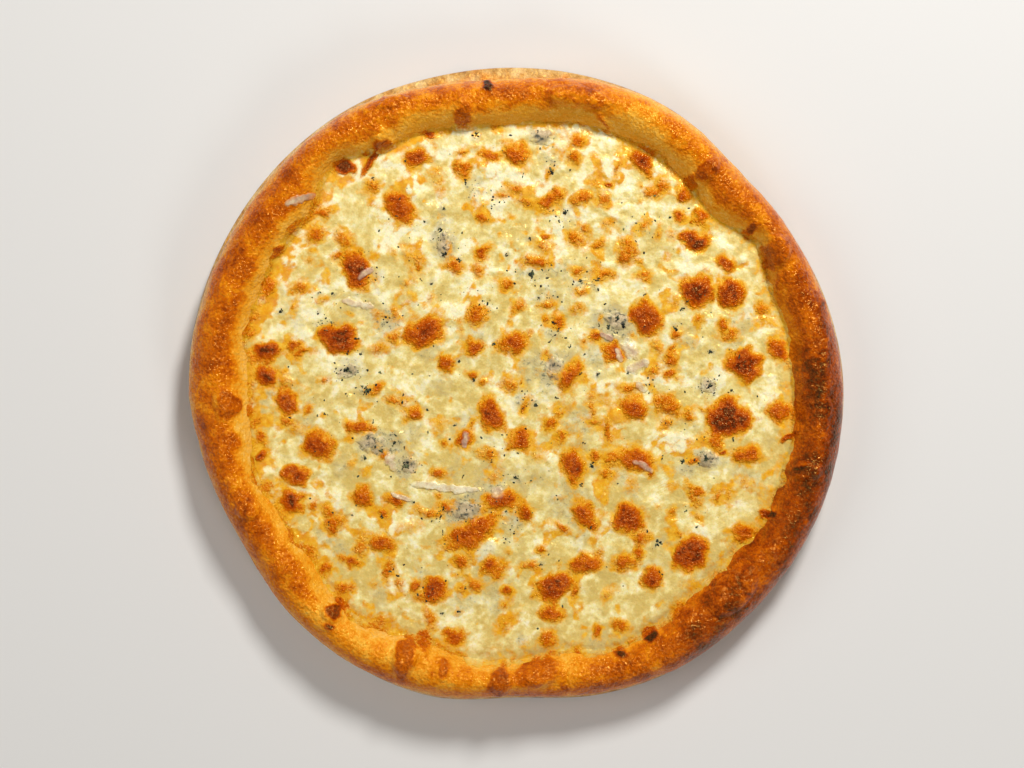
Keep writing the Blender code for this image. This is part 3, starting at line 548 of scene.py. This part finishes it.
def cheese_fields(x, y):
    """Relief of the cheese in mm and its colour fields at (x, y), the fields from 0 to 1."""
    wx, wy = warped(x, y, 2.3, 8)
    fx, fy = warped(wx, wy, 0.9, 3)
    ragged = 1.6 * wave(x, y, 60, 5) + 0.5 * wave(x, y, 65, 2.1)
    blister, toast, halo = np.zeros_like(x), np.zeros_like(x), np.zeros_like(x)
    for oval in toasted_ovals():
        strong, size = oval[5], min(oval[2], oval[3])
        near = np.hypot(x - oval[0], y - oval[1]) < max(oval[2], oval[3]) + 8
        if not near.any():
            continue
        depth = oval_depth(fx[near], fy[near], oval) + ragged[near] * min(1, size / 4)
        soft = min(1.5 * size, 6.4) + 0.6
        toast[near] = np.maximum(toast[near], 1.04 * strong * smooth_step((depth + 0.4 * soft) / soft))
        halo[near] = np.maximum(halo[near], smooth_step((depth + 3.9) / 4.7) * (0.5 + 0.6 * strong))
        across, along = oval_shares(wx[near], wy[near], oval)
        rise = smooth_step(1.05 - across * across - along * along)
        tall = BLISTER_HEIGHT * (0.6 + 0.4 * min(1, oval[3] / 6)) if oval in BLISTERS else 0.13 * min(size, 5)
        blister[near] = np.maximum(blister[near], tall * rise)

    rough = smooth_step((toast - 0.3) / 0.35)
    toast = toast * (1.02 + 0.34 * wave(x, y, 70, 2.0) + 0.22 * wave(x, y, 75, 4.6))
    shreds = strands(wx, wy)
    curd = 0.1 * wave(x, y, 80, 3.1) + 0.5 * wave(wx, wy, 88, 6.5) + 0.22 * wave(fx, fy, 86, 3.8)
    crackle = 0.26 * wave(x, y, 90, 2.7) + 0.10 * wave(x, y, 95, 1.6)
    relief = CHEESE_SWELL * wave(x, y, 3, CHEESE_WAVE) + CHEESE_LUMP * wave(x, y, 9, LUMP_WAVE)
    relief += blister + 0.38 * shreds * (1 - 0.7 * rough) + curd + rough * crackle

    blue = np.zeros_like(x)
    for x0, y0, a, b, strength in BLUE_PATCHES:
        depth = oval_depth(wx, wy, (x0, y0, a, b, 0))
        blue = np.maximum(blue, strength * smooth_step((depth + 4.5) / 8))
    veiled = smooth_step(wave(wx, wy, 105, 14) * 1.8 + 0.08) * (0.15 + 0.85 * smooth_step((75 - y) / 60))
    blue = blue * (0.85 + 0.7 * wave(fx, fy, 100, 4)) + 0.5 * veiled
    for x0, y0, size in FLECKS:
        near = np.hypot(x - x0, y - y0) < 6
        stain = 0.75 * np.exp(-((fx[near] - x0) ** 2 + (fy[near] - y0) ** 2) / (1 + size * size))
        blue[near] = np.maximum(blue[near], stain)
    cream_and_shading = 0.46 + 0.5 * wave(wx, wy, 110, 13) + 0.66 * wave(fx, fy, 115, 5.5) + 0.44 * wave(fx, fy, 118, 2.4)
    cream_and_shading = 0.45 * cream_and_shading + 0.55 * smooth_step(1.15 * cream_and_shading)
    cream_and_shading += 0.14 * shreds + 0.34 * wave(wx * 0.4, wy, 112, 4) * smooth_step((y + 20) / 60)
    thin = smooth_step(1 - np.abs(wave(fx, fy, 117, 7)) / 0.1)
    # The cheese grows paler toward +Y as painted light from the key light's side. It is paler still past Y =
    # 70 mm, and darker along thin wavy lines.
    cream_and_shading += 0.0017 * np.clip(y, -80, 80) + 0.22 * smooth_step((y - 70) / 35) - 0.06 - 0.16 * thin
    cream_and_shading += 0.34 * smooth_step(1 - np.abs(wave(wx, wy, 113, 6)) / 0.13) * (0.4 + wave(x, y, 119, 20))
    arcs = np.zeros_like(x)
    for x0, y0, a, b in WHITE_LUMPS_MELTED:
        depth = oval_depth(fx, fy, (x0, y0, a, b, 0)) + 1.2 * ragged
        lump = smooth_step((depth + 1.5) / 4.5)
        arcs = np.maximum(arcs, 4 * lump * (1 - lump) * smooth_step(0.5 + (y0 - y + 0.7 * (x0 - x)) / 6))
        cream_and_shading = np.maximum(cream_and_shading, 0.95 * lump)
        relief += 0.45 * lump * (1 - rough)
    oil = smooth_step(wave(wx, wy, 120, 11) * 1.5 + 1.3 * wave(fx, fy, 124, 3.4) - 0.13) * 0.85
    pool = smooth_step(1.5 - np.hypot(x - 28, y + 14) / 32)
    oil = np.minimum(1, oil + 0.42 * pool * (0.6 + wave(wx, wy, 128, 7)))
    gold = halo + (oil + 0.7 * arcs) * (1 - 0.6 * blue) * (1 - halo)
    return relief, {"toast": toast, "gold": gold, "cream_and_shading": cream_and_shading, "blue": blue}


def make_cheese(finish, crust_height):
    mesh = cheese_sheet()
    flat = vertex_places(mesh)
    share, angle = round_places(flat[:, 0], flat[:, 1])
    share += RING_BIAS * share * (1 - share)
    on_top, on_slope = flat[:, 2] == 0, flat[:, 2] == SLOPE_RING
    rings = (EDGE_RADIUS, SLOPE_RADIUS, BED_RADIUS)
    edge, slope, bed = (settled_radius(reach, CHEESE_LINE, angle) for reach in rings)
    rim_x, rim_y = edge * np.cos(angle), edge * np.sin(angle)
    film = FILM_REACH + 1.9 * wave(rim_x, rim_y, 150, 8) + 1.1 * wave(rim_x, rim_y, 155, 3)
    for degrees, half_width, reach in SPILLS:
        off = np.degrees(angle_from(angle, degrees))
        film += reach * smooth_step(1 - np.abs(off) / half_width)
    film = np.clip(film, -0.8, 9)
    reach = np.where(on_slope, slope, bed)
    reach = np.where(on_top, share * edge + film * smooth_step(share * 12 - 11), reach)
    x, y = reach * np.cos(angle), reach * np.sin(angle)
    relief, fields = cheese_fields(x, y)
    inward = edge - reach
    free = smooth_step(inward / EDGE_FADE)
    top = CHEESE_EDGE + free * (CHEESE_TOP - CHEESE_EDGE + relief)
    outer = on_top & (inward < 7)
    skin = 0.58 * smooth_step((edge + film - reach) / 2.8) - 0.2
    wall = np.full_like(x, -100.0)
    wall[outer] = [crust_height(px, py) for px, py in zip(x[outer], y[outer])]
    wall += skin
    top = np.where(outer, 0.5 * (top + wall + np.hypot(top - wall, FILM_BLEND)), top)
    z = np.where(on_top, top, np.where(on_slope, SLOPE_HEIGHT, FLOOR_HEIGHT + BED_GAP))
    set_places(mesh, np.stack((x, y, z), axis=1))

    from_end = np.maximum(inward + film, 0)
    left = smooth_step(-1.1 * np.cos(angle) - 0.15)
    low = np.clip(np.cos(angle - math.radians(325)) + 0.25, 0, 1)
    border = 1.1 - from_end / (5 + 13 * left + 5 * low) + 0.9 * wave(x, y, 140, 7)
    border = smooth_step(border + 0.5 * wave(x, y, 143, 2.6)) * (1 - 0.35 * low)
    fields["gold"] = np.maximum(fields["gold"], border)
    shade = 0.22 + 0.5 * low
    fields["cream_and_shading"] -= shade * smooth_step(1 - from_end / 13)
    tan = 0.26 + 0.3 * wave(x, y, 147, 9) + 0.05 * left
    browned = smooth_step(1.25 - from_end / (3 + 4 * left) + 0.9 * wave(x, y, 145, 5)) * tan
    fields["toast"] = np.maximum(fields["toast"], browned)
    fx, fy = warped(x, y, 1.6, 4)
    for mark in RIM_MARKS:
        fields["toast"] = np.maximum(fields["toast"], mark[5] * mark_cover(fx, fy, mark))
    set_fields(mesh, fields)
    return add_piece("cheese_melted", mesh, finish, ["cheese"])


# What lies on the cheese

def surface_of(*things):
    """A function that gives the height in mm of the highest of these things at (x, y) in mm."""
    graph = bpy.context.evaluated_depsgraph_get()
    trees = [BVHTree.FromObject(thing, graph) for thing in things]

    def height(x, y):
        hits = [tree.ray_cast(Vector((x * MM, y * MM, 1)), Vector((0, 0, -1)))[0] for tree in trees]
        return max(hit.z for hit in hits if hit is not None) / MM

    return height


def topping_ovals():
    """Every loose topping as an oval, to keep the flakes clear of it."""
    ovals = list(BLUE_CRUMBS + WHITE_LUMPS)
    for x1, y1, x2, y2, width in SLIVERS:
        turn = math.degrees(math.atan2(y2 - y1, x2 - x1))
        half = math.hypot(x2 - x1, y2 - y1) / 2
        ovals.append(((x1 + x2) / 2, (y1 + y2) / 2, half, width / 2, turn))
    return ovals


def flake_places():
    """Where the larger herb flakes lie: by chance, most of them near a crumb of blue cheese."""
    draw = random.Random(SEED)
    ovals, places = topping_ovals(), []
    while len(places) < FLAKES:
        if draw.random() < 0.6:
            crumb = draw.choice(BLUE_CRUMBS)
            reach, angle = draw.uniform(7, 20), draw.uniform(0, math.tau)
            x, y = crumb[0] + reach * math.cos(angle), crumb[1] + reach * math.sin(angle)
        else:
            x, y = random_place(draw, FLAKE_FIELD)
        turn, size = draw.uniform(0, math.pi), draw.uniform(0.8, 1.25)
        grown = [(ox, oy, a + FLAKE_CLEARANCE, b + FLAKE_CLEARANCE, t) for ox, oy, a, b, t in ovals]
        clear = all(math.hypot(*oval_shares(x, y, oval)) > 1 for oval in grown)
        spaced = all(math.hypot(x - other[0], y - other[1]) > FLAKE_SPACING for other in places)
        if clear and spaced and math.hypot(x, y) < FLAKE_FIELD:
            places.append((x, y, turn, size))
    return places


def flake_shape():
    bm = bmesh.new()
    bmesh.ops.create_icosphere(bm, subdivisions=1, radius=1)
    corners = np.array([vertex.co for vertex in bm.verts])
    faces = [[vertex.index for vertex in face.verts] for face in bm.faces]
    bm.free()
    return corners, faces


def make_flecks(height, finish):
    """All herb flakes and specks in one mesh. A chip is x, y, its three half sizes in mm, and its turn."""
    draw = random.Random(SEED + 3)
    chips = []
    for x, y, turn, size in flake_places():
        for _ in range(CHIPS_PER_FLAKE):
            along = FLAKE_LENGTH * size * draw.uniform(-0.7, 0.7)
            half = FLAKE_LENGTH * size * draw.uniform(0.28, 0.5)
            px, py = x + along * math.cos(turn), y + along * math.sin(turn) + draw.gauss(0, 0.2)
            half_width = half * draw.uniform(0.35, 0.7)
            chips.append((px, py, half, half_width, FLAKE_RISE, turn + draw.gauss(0, 0.6)))
    for x, y, length in FLECKS:
        for _ in range(CHIPS_PER_FLECK):
            size = length * draw.uniform(0.14, 0.4)
            dx, dy = draw.gauss(0, length * 0.2), draw.gauss(0, length * 0.2)
            half_width = size * draw.uniform(0.35, 0.8)
            chips.append((x + dx, y + dy, size, half_width, FLECK_RISE, draw.uniform(0, math.pi)))
    for _ in range(SPECKS):
        if draw.random() < 0.7:
            x0, y0, a, b, _ = draw.choice(BLUE_PATCHES)
            x, y = draw.gauss(x0, a * 0.6), draw.gauss(y0, b * 0.6)
        else:
            x, y = random_place(draw, SPECK_FIELD)
        size = 0.13 + 0.42 * draw.random() ** 3
        chips.append((x, y, size * draw.uniform(1, 1.7), size, SPECK_RISE, draw.uniform(0, math.pi)))
    corners, faces = flake_shape()
    places, polygons, tones = [], [], []
    for x, y, a, b, c, turn in chips:
        if math.hypot(x, y) > FLECK_FIELD:
            continue
        ragged = corners * np.array([[draw.uniform(0.6, 1.35)] for _ in corners])
        along, across, rise = (ragged * (a, b, c)).T
        px = x + along * math.cos(turn) - across * math.sin(turn)
        py = y + along * math.sin(turn) + across * math.cos(turn)
        base = len(places)
        places.extend(zip(px, py, height(x, y) + 0.25 * c + rise))
        polygons.extend([[base + corner for corner in face] for face in faces])
        tones.extend([draw.random()] * len(corners))
    mesh = bpy.data.meshes.new("herb_flecks")
    mesh.from_pydata([tuple(value * MM for value in place) for place in places], [], polygons)
    set_fields(mesh, {"tone": tones})
    return add_piece("herb_flecks", mesh, finish)


def topping_mesh(bm, name, melt, tone):
    """A topping's mesh, with the colours of the cheese under it. On the crust it is lightly toasted."""
    mesh = mesh_from(bm, name)
    places = vertex_places(mesh) / MM
    _, fields = cheese_fields(places[:, 0], places[:, 1])
    on_crust = smooth_step((np.hypot(places[:, 0], places[:, 1]) - 122) / 4)
    fields["toast"] = np.maximum(fields["toast"], 0.44 * on_crust)
    set_fields(mesh, fields | {"melt": melt, "tone": np.full(len(melt), tone)})
    return mesh


def make_lump(name, oval, top, height, finish, node, tone=0.5):
    """A softened crumb: an uneven dome that thins out at its edge into what it lies on."""
    x0, y0, half_length, half_width, turn = oval
    c, s = math.cos(math.radians(turn)), math.sin(math.radians(turn))
    bm = bmesh.new()
    bmesh.ops.create_icosphere(bm, subdivisions=LUMP_DETAIL, radius=1)
    melt = []
    for vertex in bm.verts:
        u, v, w = vertex.co
        uneven = 1.12 + 0.34 * noise.noise(Vector((u * 1.7 + x0, v * 1.7 + y0, 0)))
        uneven += 0.2 * noise.noise(Vector((u * 4 + x0, v * 4 + y0, 3)))
        along, across = u * half_length * uneven, v * half_width * uneven
        x, y = x0 + along * c - across * s, y0 + along * s + across * c
        spread_out = u * u + v * v
        craggy = 1 + 0.5 * noise.noise(Vector((x, y, 5)) / 3.2)
        craggy += 0.2 * noise.noise(Vector((x, y, 9)) / 1.5)
        rise = 0.5 * top * smooth_step(1.2 * (1 - spread_out)) * craggy - 0.06 if w > 0 else -0.4
        vertex.co = Vector((x, y, height(x, y) + rise)) * MM
        melt.append(spread_out)
    return add_piece(name, topping_mesh(bm, name, melt, tone), finish, [node])


def make_strip(name, ends, tone, height, finish, nodes=(), proud=0.7):
    """A strip of half-melted cheese with soft ends, laid over what is under it."""
    x1, y1, x2, y2, width = ends
    length = math.hypot(x2 - x1, y2 - y1)
    forward = Vector(((x2 - x1) / length, (y2 - y1) / length))
    side = Vector((-forward.y, forward.x))
    bm = bmesh.new()
    bmesh.ops.create_grid(bm, x_segments=STRIP_GRID[0], y_segments=STRIP_GRID[1], size=1)
    melt = []
    for vertex in bm.verts:
        u, v = vertex.co.x, vertex.co.y
        taper = math.sqrt(1 - 0.9 * abs(u) ** 3.5)
        bow = 0.05 * length * noise.noise(Vector((u * 0.9, x1, y1)))
        ragged = 1.08 + 0.6 * noise.noise(Vector((u * length / 7, v, x1)))
        ragged += 0.45 * noise.noise(Vector((u * length / 3.2, 1.5 * v, y1)))
        across = v * width / 2 * taper * ragged + bow
        place = Vector((x1, y1)) + forward * (u + 1) / 2 * length + side * across
        edge = max(0.0, 1 - v * v) * max(0.0, 1 - abs(u) ** 7)
        rise = proud * SLIVER_THICKNESS * smooth_step(1.4 * edge)
        rise += 0.3 * noise.noise(Vector((place.x, place.y, 2)) / 3.0) * edge
        vertex.co = Vector((place.x, place.y, height(place.x, place.y) - 0.12 + rise)) * MM
        melt.append(1 - edge)
    strip = add_piece(name, topping_mesh(bm, name, melt, tone), finish, nodes)
    body = strip.modifiers.new("Thickness", "SOLIDIFY")
    body.thickness = STRIP_BODY * MM
    body.offset = -1
    return strip


# Materials

def new_material(name):
    made = bpy.data.materials.new(name)
    made.use_nodes = True
    return made, made.node_tree, made.node_tree.nodes["Principled BSDF"]


def attribute(tree, name):
    node = tree.nodes.new("ShaderNodeAttribute")
    node.attribute_name = name
    return node.outputs["Fac"]


def set_inputs(node, values):
    for name, value in values.items():
        node.inputs[name].default_value = value


def texture(tree, scale, detail=2.0, roughness=0.5):
    """Noise in the object's own metres, from 0 to 1."""
    place = tree.nodes.new("ShaderNodeTexCoord")
    node = tree.nodes.new("ShaderNodeTexNoise")
    set_inputs(node, {"Scale": scale, "Detail": detail, "Roughness": roughness})
    tree.links.new(place.outputs["Object"], node.inputs["Vector"])
    return node.outputs["Fac"]


def plug(tree, socket, value):
    if isinstance(value, (int, float, tuple)):
        socket.default_value = value
    else:
        tree.links.new(value, socket)


def calc(tree, operation, first, second=0.0, third=0.0):
    node = tree.nodes.new("ShaderNodeMath")
    node.operation = operation
    for socket, value in zip(node.inputs, (first, second, third)):
        plug(tree, socket, value)
    return node.outputs[0]


def spread(tree, value, low, high, new_low=0.0, new_high=1.0):
    """Maps low..high to new_low..new_high, held at the ends."""
    node = tree.nodes.new("ShaderNodeMapRange")
    plug(tree, node.inputs["Value"], value)
    set_inputs(node, {"From Min": low, "From Max": high, "To Min": new_low, "To Max": new_high})
    return node.outputs["Result"]


def blend(tree, share, first, second):
    node = tree.nodes.new("ShaderNodeMix")
    node.data_type = "RGBA"
    plug(tree, node.inputs["Factor"], share)
    plug(tree, node.inputs["A"], first)
    plug(tree, node.inputs["B"], second)
    return node.outputs["Result"]


def ramp(tree, value, stops):
    node = tree.nodes.new("ShaderNodeValToRGB")
    points = node.color_ramp.elements
    while len(points) < len(stops):
        points.new(0.5)
    for point, (place, colour) in zip(points, stops):
        point.position, point.color = place, srgb(*colour)
    tree.links.new(value, node.inputs["Fac"])
    return node.outputs["Color"]


def jitter(tree, value, scale, reach):
    """A value moved up and down by fine noise, by reach at most."""
    return calc(tree, "ADD", value, spread(tree, texture(tree, scale), 0.25, 0.75, -reach, reach))


def bump(tree, shader, layers):
    """Fine relief from (height, metres) layers."""
    below = None
    for height, depth in layers:
        node = tree.nodes.new("ShaderNodeBump")
        node.inputs["Distance"].default_value = depth
        tree.links.new(height, node.inputs["Height"])
        if below:
            tree.links.new(below, node.inputs["Normal"])
        below = node.outputs["Normal"]
    tree.links.new(below, shader.inputs["Normal"])


def glow(shader, weight, radius, scale):
    set_inputs(shader, {"Subsurface Weight": weight, "Subsurface Radius": radius, "Subsurface Scale": scale})


def coat(tree, shader, colour, grain, smooth, rough):
    """Sets a shader's colour, and a roughness that varies with noise."""
    tree.links.new(colour, shader.inputs["Base Color"])
    tree.links.new(spread(tree, texture(tree, grain), 0.3, 0.7, smooth, rough), shader.inputs["Roughness"])


def crust_material():
    made, tree, shader = new_material("Baked crust")
    # The bake level from the mesh carries painted light, shade and sheen on the rim as well as how dark it is
    # baked.
    bake_and_shading = jitter(tree, jitter(tree, attribute(tree, "bake_and_shading"), 800, 0.11), 260, 0.07)
    colour = ramp(tree, bake_and_shading, (
        (0.0, (250, 206, 112)), (0.2, (246, 174, 52)), (0.38, (234, 136, 10)), (0.54, (204, 96, 2)),
        (0.7, (158, 60, 2)), (0.85, (108, 38, 5)), (1.0, (46, 20, 13)),
    ))
    gold = jitter(tree, attribute(tree, "gold"), 300, 0.2)
    colour = blend(tree, spread(tree, gold, 0.1, 1.1, 0.0, 0.45), colour, srgb(242, 164, 28))
    foot = ramp(tree, texture(tree, 160, 4.0, 0.65), (
        (0.3, (150, 92, 40)), (0.46, (206, 158, 90)), (0.62, (232, 196, 132)), (0.8, (240, 212, 160)),
    ))
    colour = blend(tree, spread(tree, attribute(tree, "pale"), 0.1, 0.8), colour, foot)
    coat(tree, shader, colour, 200, 0.1, 0.26)
    set_inputs(shader, {"Specular IOR Level": 0.65, "Specular Tint": (1.0, 0.6, 0.12, 1.0)})
    bump(tree, shader, ((texture(tree, 240, 2.0), 0.0006), (texture(tree, 680, 2.0), 0.0010)))
    return made


def cheese_colour(tree):
    """Colour of the melted cheese, from how creamy it is with painted light and shade in it, its blue, gold
    and toast, and the toast itself.
    """
    cream_and_shading = jitter(tree, jitter(tree, attribute(tree, "cream_and_shading"), 420, 0.24), 1000, 0.2)
    colour = ramp(tree, cream_and_shading, (
        (0.0, (219, 189, 106)), (0.22, (229, 202, 122)), (0.45, (237, 215, 139)), (0.7, (247, 229, 161)),
        (1.0, (255, 244, 200)),
    ))
    blue = jitter(tree, attribute(tree, "blue"), 500, 0.2)
    colour = blend(tree, spread(tree, blue, 0.15, 0.9, 0.0, 0.85), colour, srgb(197, 182, 136))
    veins = spread(tree, texture(tree, 520, 3.0, 0.7), 0.54, 0.64, 0.0, 0.75)
    veins = calc(tree, "MULTIPLY", veins, spread(tree, blue, 0.35, 0.85))
    colour = blend(tree, veins, colour, srgb(88, 92, 78))
    gold = jitter(tree, jitter(tree, attribute(tree, "gold"), 350, 0.2), 900, 0.14)
    golden = ramp(tree, texture(tree, 330, 3.0, 0.6), (
        (0.3, (226, 140, 4)), (0.5, (236, 166, 14)), (0.7, (248, 196, 62)),
    ))
    colour = blend(tree, spread(tree, gold, 0.38, 0.84, 0.0, 0.93), colour, golden)
    toast = jitter(tree, jitter(tree, attribute(tree, "toast"), 1000, 0.12), 380, 0.07)
    browned = ramp(tree, toast, (
        (0.1, (232, 168, 22)), (0.26, (232, 150, 8)), (0.4, (224, 124, 2)), (0.55, (206, 97, 1)),
        (0.7, (182, 72, 1)), (0.86, (152, 49, 1)), (1.0, (96, 30, 4)),
    ))
    return blend(tree, spread(tree, toast, 0.06, 0.42), colour, browned), toast


def cheese_material():
    made, tree, shader = new_material("Melted cheese")
    colour, toast = cheese_colour(tree)
    coat(tree, shader, colour, 300, 0.14, 0.33)
    set_inputs(shader, {"Specular IOR Level": 0.5, "Specular Tint": (1.0, 0.72, 0.22, 1.0)})
    glow(shader, 0.15, (1.0, 0.6, 0.25), 0.0012)
    fine = spread(tree, toast, 0.2, 0.5, 0.08, 1.0)
    pebbles = calc(tree, "MULTIPLY", texture(tree, 700, 2.0), fine)
    bump(tree, shader, ((texture(tree, 260, 2.0), 0.0009), (pebbles, 0.0014)))
    return made


def herb_material():
    made, tree, shader = new_material("Herb flecks")
    colour = ramp(tree, attribute(tree, "tone"), (
        (0.0, (22, 25, 22)), (0.4, (40, 45, 38)), (0.75, (70, 78, 56)), (1.0, (114, 118, 76)),
    ))
    coat(tree, shader, colour, 900, 0.5, 0.8)
    shader.inputs["Specular IOR Level"].default_value = 0.2
    return made


def blue_material():
    made, tree, shader = new_material("Blue cheese")
    cheese_base, _ = cheese_colour(tree)
    body = ramp(tree, texture(tree, 240, 3.0), (
        (0.3, (148, 134, 102)), (0.45, (178, 158, 118)), (0.6, (202, 178, 138)), (0.75, (226, 204, 162)),
    ))
    veins = spread(tree, texture(tree, 430, 4.0, 0.7), 0.5, 0.6, 0.0, 0.9)
    body = blend(tree, veins, body, srgb(58, 66, 62))
    melt = jitter(tree, jitter(tree, attribute(tree, "melt"), 600, 0.3), 180, 0.4)
    colour = blend(tree, spread(tree, melt, 0.2, 0.8), body, cheese_base)
    coat(tree, shader, colour, 500, 0.3, 0.5)
    shader.inputs["Specular Tint"].default_value = (1.0, 0.85, 0.6, 1.0)
    glow(shader, 0.1, (1.0, 0.7, 0.5), 0.001)
    bump(tree, shader, ((texture(tree, 600, 2.0), 0.0004),))
    return made


def pale_material():
    made, tree, shader = new_material("Pale cheese")
    cheese_base, _ = cheese_colour(tree)
    uneven = spread(tree, texture(tree, 330, 3.0, 0.6), 0.3, 0.7, 0.0, 0.5)
    whiteness = calc(tree, "MULTIPLY_ADD", attribute(tree, "tone"), 0.6, uneven)
    colour = ramp(tree, whiteness, (
        (0.15, (172, 132, 110)), (0.38, (200, 162, 130)), (0.6, (224, 196, 154)), (0.85, (246, 230, 192)),
    ))
    melt = jitter(tree, jitter(tree, attribute(tree, "melt"), 600, 0.2), 200, 0.3)
    colour = blend(tree, spread(tree, melt, 0.05, 0.85), colour, cheese_base)
    coat(tree, shader, colour, 500, 0.22, 0.4)
    shader.inputs["Specular Tint"].default_value = (1.0, 0.85, 0.65, 1.0)
    glow(shader, 0.2, (1.0, 0.75, 0.5), 0.0015)
    bump(tree, shader, ((texture(tree, 500, 2.0), 0.0004),))
    return made


# Light, floor and camera

def add_light(name, place, size, watts):
    data = bpy.data.lights.new(name, "AREA")
    data.shape = "DISK"
    data.size = size
    data.energy = watts
    lamp = add_object(name, data)
    lamp.location = place
    lamp.rotation_euler = (-Vector(place)).to_track_quat("-Z", "Y").to_euler()


def make_stage():
    bm = bmesh.new()
    bmesh.ops.create_grid(bm, x_segments=1, y_segments=1, size=FLOOR_SIZE)
    mesh = mesh_from(bm, "floor")
    floor = add_object("floor", mesh)
    floor.location.z = -FLOOR_DROP
    made, _, shader = new_material("Floor")
    set_inputs(shader, {"Base Color": srgb(226, 223, 218), "Roughness": 0.8})
    mesh.materials.append(made)

    world = bpy.data.worlds.new("Studio")
    world.use_nodes = True
    set_inputs(world.node_tree.nodes["Background"], {"Color": (1, 0.98, 0.95, 1), "Strength": 0.12})
    bpy.context.scene.world = world
    for light in LIGHTS:
        add_light(*light)


def make_camera():
    data = bpy.data.cameras.new("Camera")
    data.lens, data.sensor_width = LENS, SENSOR
    camera = add_object("Camera", data)
    camera.location = (CAMERA_X * MM, CAMERA_Y * MM, RIM_LEVEL + VIEW_WIDTH * LENS / SENSOR)
    bpy.context.scene.camera = camera
    bpy.context.scene.view_settings.view_transform = "Standard"


make_camera()
make_stage()
crust = make_crust(crust_material())
cheese = make_cheese(cheese_material(), surface_of(crust))
ground = surface_of(crust, cheese)
blue_finish, pale_finish = blue_material(), pale_material()
crumbs = []
for number, oval in enumerate(BLUE_CRUMBS, 1):
    name, node = f"blue_lump_{number}", f"blue_crumb_{number}"
    crumbs.append(make_lump(name, oval, CRUMB_HEIGHT, ground, blue_finish, node))
make_flecks(surface_of(crust, cheese, *crumbs), herb_material())
for number, (oval, tone) in enumerate(zip(WHITE_LUMPS, LUMP_TONES), 1):
    node = f"white_lump_{number}"
    make_lump(f"pale_lump_{number}", oval, LUMP_HEIGHT, ground, pale_finish, node, tone)
for number, (ends, tone) in enumerate(zip(SLIVERS, SLIVER_TONES), 1):
    make_strip(f"strip_{number}", ends, tone, ground, pale_finish, [f"sliver_{number}"])
for number, (ends, tone) in enumerate(zip(SHREDS, SHRED_TONES), 1):
    make_strip(f"shred_{number}", ends, tone, ground, pale_finish, proud=0.6)
